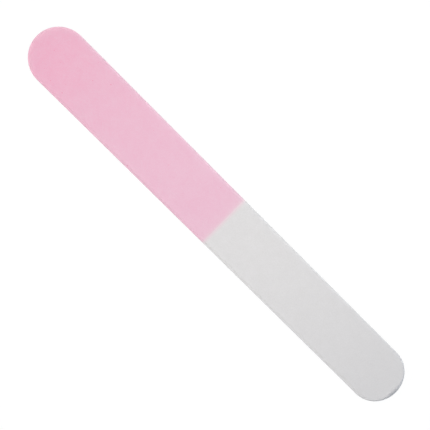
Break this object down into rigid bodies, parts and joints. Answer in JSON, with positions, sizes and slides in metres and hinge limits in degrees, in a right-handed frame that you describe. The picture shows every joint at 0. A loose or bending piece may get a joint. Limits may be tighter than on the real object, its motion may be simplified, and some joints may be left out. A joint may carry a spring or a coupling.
{
  "type": "nail buffer board",
  "caption": "Slim round-ended board for buffing nails: foam-cushioned plastic core, front half pink and half white, full-length grey back.",
  "frame": {"origin": "centre of the board's outline, on the flat of the grey back that it rests on", "axes": "+X from the pink end to the white end, +Y across the board, +Z out of the pink and white face"},
  "size_m": [0.178, 0.0208, 0.004],
  "materials": {
    "core_plastic": "satin polystyrene sheet, die cut",
    "adhesive_tape": "thin clear film with adhesive on both faces",
    "cushion_foam": "matte closed-cell foam, off-white",
    "pink_coated_sheet": "matte, very fine mineral coating, pink",
    "white_coated_sheet": "matte, ultra-fine mineral coating, cool white",
    "grey_coated_sheet": "smooth satin shining film, grey"
  },
  "bodies": {
    "root": {"core_board": "core_plastic", "front_core_tape": "adhesive_tape", "back_core_tape": "adhesive_tape", "front_foam": "cushion_foam", "back_foam": "cushion_foam", "pink_sheet_tape": "adhesive_tape", "white_sheet_tape": "adhesive_tape", "grey_sheet_tape": "adhesive_tape", "pink_smoothing_sheet": "pink_coated_sheet", "white_polishing_sheet": "white_coated_sheet", "grey_shining_sheet": "grey_coated_sheet"}
  },
  "joints": []
}
